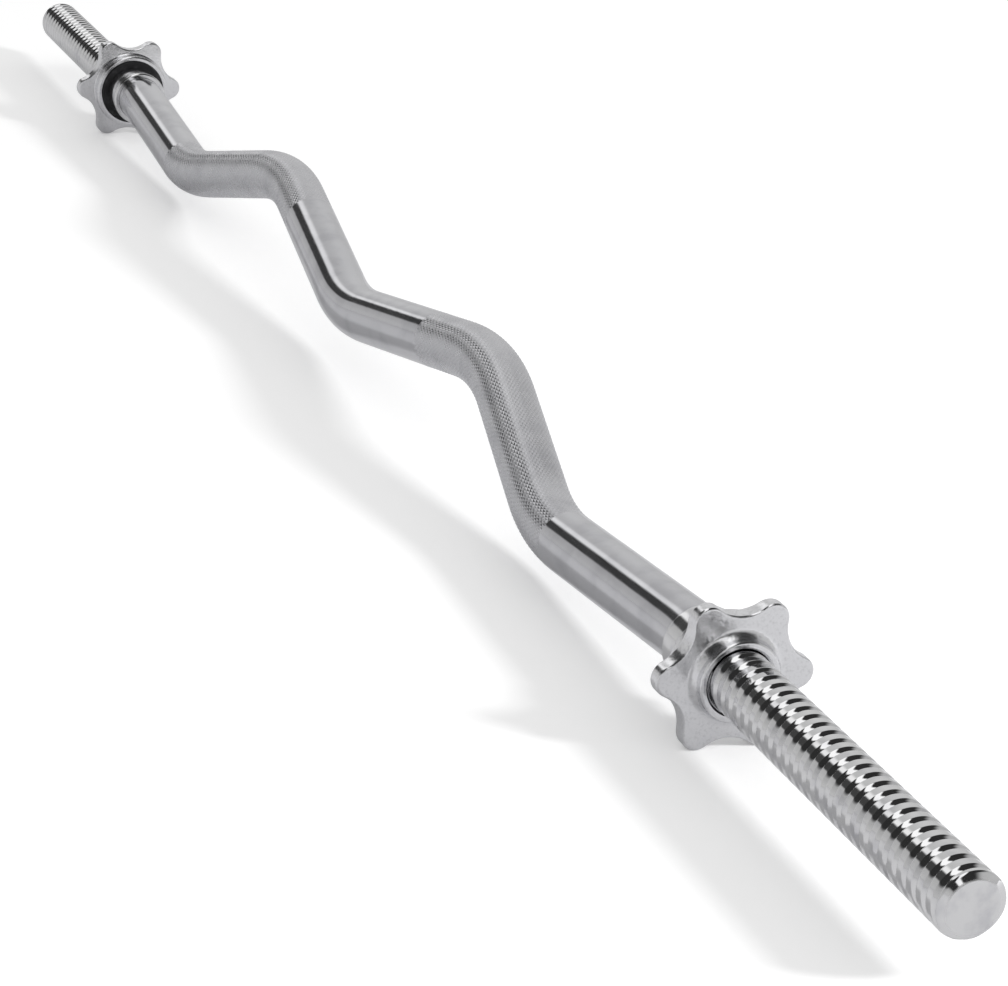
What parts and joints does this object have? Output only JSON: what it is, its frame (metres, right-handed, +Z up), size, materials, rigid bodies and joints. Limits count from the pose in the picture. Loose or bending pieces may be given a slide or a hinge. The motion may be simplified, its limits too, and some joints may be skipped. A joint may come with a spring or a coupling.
{
  "type": "ez curl bar",
  "caption": "Bent steel weight bar with angled knurled grips, threaded sleeves for plates, pressed inner collars, and star collars with rubber rings that screw along the sleeves.",
  "frame": {"origin": "on the floor, below the middle of the bar, with the bar lying on its star collars", "axes": "+X along the two sleeves, +Z up; the knees of the wave point up and to +Y"},
  "size_m": [1.2, 0.0608, 0.0596],
  "materials": {
    "chrome_steel": "satin chrome, bright on the smooth stretches and threads",
    "collar_steel": "bright chrome",
    "plated_casting": "chrome plate over a slightly rough casting",
    "black_rubber": "matt rubber"
  },
  "bodies": {
    "bar": {"curl_bar": "chrome_steel", "left_inner_collar": "collar_steel", "right_inner_collar": "collar_steel"},
    "left_ring": {"left_rubber_ring": "black_rubber"},
    "left_collar": {"left_star_collar": "plated_casting"},
    "right_ring": {"right_rubber_ring": "black_rubber"},
    "right_collar": {"right_star_collar": "plated_casting"}
  },
  "joints": [
    {"name": "left_travel", "type": "slide", "parent": "bar", "child": "left_ring", "axis": [-1, 0, 0], "range_m": [0, 0.1715]},
    {"name": "left_turn", "type": "hinge", "parent": "left_ring", "child": "left_collar", "pos_m": [-0.425, 0, 0.02713], "axis": [-1, 0, 0], "range_deg": [0, 9720]},
    {"name": "right_travel", "type": "slide", "parent": "bar", "child": "right_ring", "axis": [1, 0, 0], "range_m": [0, 0.1715]},
    {"name": "right_turn", "type": "hinge", "parent": "right_ring", "child": "right_collar", "pos_m": [0.425, 0, 0.02713], "axis": [1, 0, 0], "range_deg": [0, 9720]}
  ],
  "couplings": [
    {"joint": "left_travel", "follows": "left_turn", "m_per_rad": 0.0010106},
    {"joint": "right_travel", "follows": "right_turn", "m_per_rad": 0.0010106}
  ]
}
